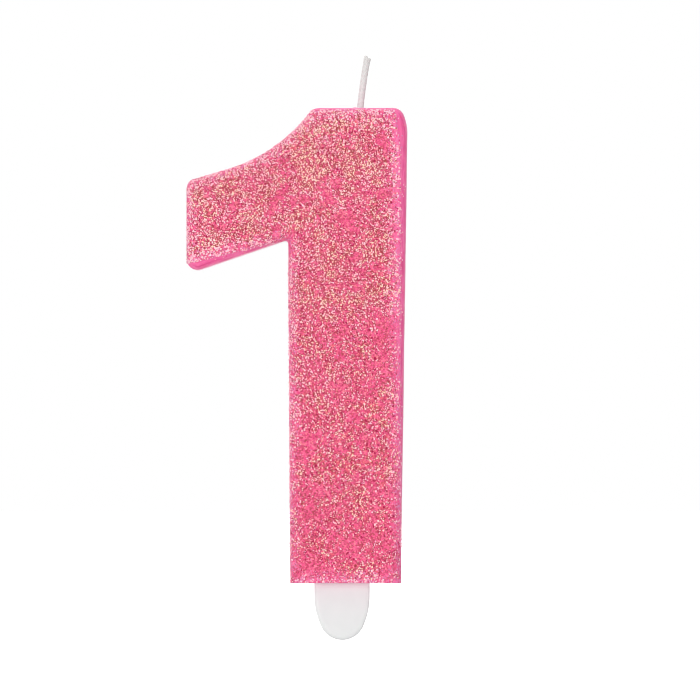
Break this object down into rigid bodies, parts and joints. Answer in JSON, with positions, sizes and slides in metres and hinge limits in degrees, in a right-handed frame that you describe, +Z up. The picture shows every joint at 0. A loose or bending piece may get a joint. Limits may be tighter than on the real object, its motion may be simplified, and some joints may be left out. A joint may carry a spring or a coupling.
{
  "type": "number birthday candle",
  "caption": "Flat moulded wax candle in the shape of a figure one, with a glitter-coated face, a leaning waxed wick and a short flat plastic pick for standing in a cake.",
  "frame": {"origin": "middle of the wax body's flat underside, at mid thickness, where the candle sits on a cake", "axes": "+Z up towards the wick, -Y out of the glittered face, so seen from the front +X is to the right"},
  "size_m": [0.0372, 0.0102, 0.0986],
  "materials": {
    "pink_wax": "smooth dyed paraffin wax, slightly translucent, satin",
    "glitter_lacquer": "clear lacquer packed with fine iridescent flakes: pink, coral, gold and cream glints",
    "wick_cotton": "plaited undyed cotton",
    "priming_wax": "thin translucent wax skin over the cotton",
    "frosted_plastic": "milky translucent moulded polypropylene, satin"
  },
  "bodies": {
    "root": {"wax_body": "pink_wax", "glitter_coat": "glitter_lacquer", "wick": "wick_cotton", "wick_wax": "priming_wax", "pick": "frosted_plastic"}
  },
  "joints": []
}
